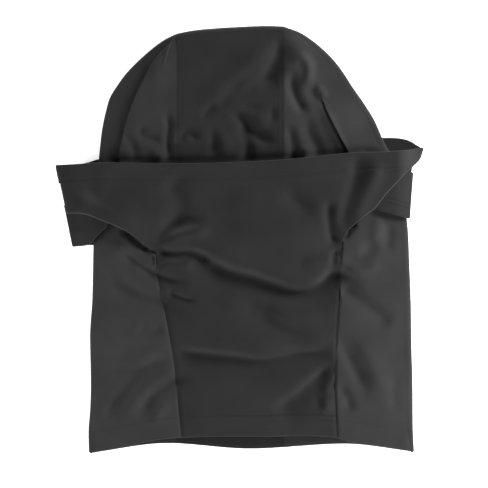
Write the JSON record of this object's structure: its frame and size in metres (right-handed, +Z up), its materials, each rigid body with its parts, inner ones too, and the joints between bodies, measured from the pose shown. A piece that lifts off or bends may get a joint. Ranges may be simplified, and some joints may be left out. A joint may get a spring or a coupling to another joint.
{
  "type": "balaclava",
  "caption": "Knitted balaclava laid flat: a hood and neck tube with a seamed crown and front, and a loose face mask that rings the hood and pulls down off the face.",
  "frame": {"origin": "on the surface that the garment lies on, at the middle of its outline", "axes": "+Z up from the surface that it lies on, +Y towards the crown of the hood, +X towards the right of the laid garment"},
  "size_m": [0.3, 0.35, 0.0232],
  "materials": {
    "front_knit": "matte",
    "side_knit": "matte",
    "mask_knit": "matte",
    "binding_knit": "matte",
    "elastic": "matte",
    "thread": "satin"
  },
  "bodies": {
    "hood": {"crown_and_back_panel": "front_knit", "front_neck_panel": "front_knit", "left_side_panel": "side_knit", "right_side_panel": "side_knit", "neck_hem_front": "front_knit", "neck_hem_back": "front_knit", "neck_hem_left": "side_knit", "neck_hem_right": "side_knit", "neck_coverstitch_front": "thread", "neck_coverstitch_back": "thread", "neck_coverstitch_left": "thread", "neck_coverstitch_right": "thread", "crown_seam_flatlock_left": "thread", "crown_seam_flatlock_right": "thread", "back_seam_flatlock_left": "thread", "back_seam_flatlock_right": "thread", "front_seam_flatlock_left": "thread", "front_seam_flatlock_right": "thread", "bartack_left": "thread", "bartack_right": "thread", "face_opening_binding": "binding_knit", "face_opening_elastic": "elastic"},
    "mask": {"mask_front_panel": "mask_knit", "mask_back_band": "mask_knit", "mask_top_hem_front": "mask_knit", "mask_top_hem_back": "mask_knit", "mask_lower_hem_back": "mask_knit", "mask_lower_hem_left": "mask_knit", "mask_lower_hem_right": "mask_knit", "mask_top_coverstitch_front": "thread", "mask_top_coverstitch_back": "thread", "mask_lower_coverstitch_back": "thread", "mask_lower_coverstitch_left": "thread", "mask_lower_coverstitch_right": "thread"}
  },
  "joints": [
    {"name": "mask_pull_down", "type": "slide", "parent": "hood", "child": "mask", "axis": [0, -1, 0], "range_m": [0, 0.05]}
  ]
}
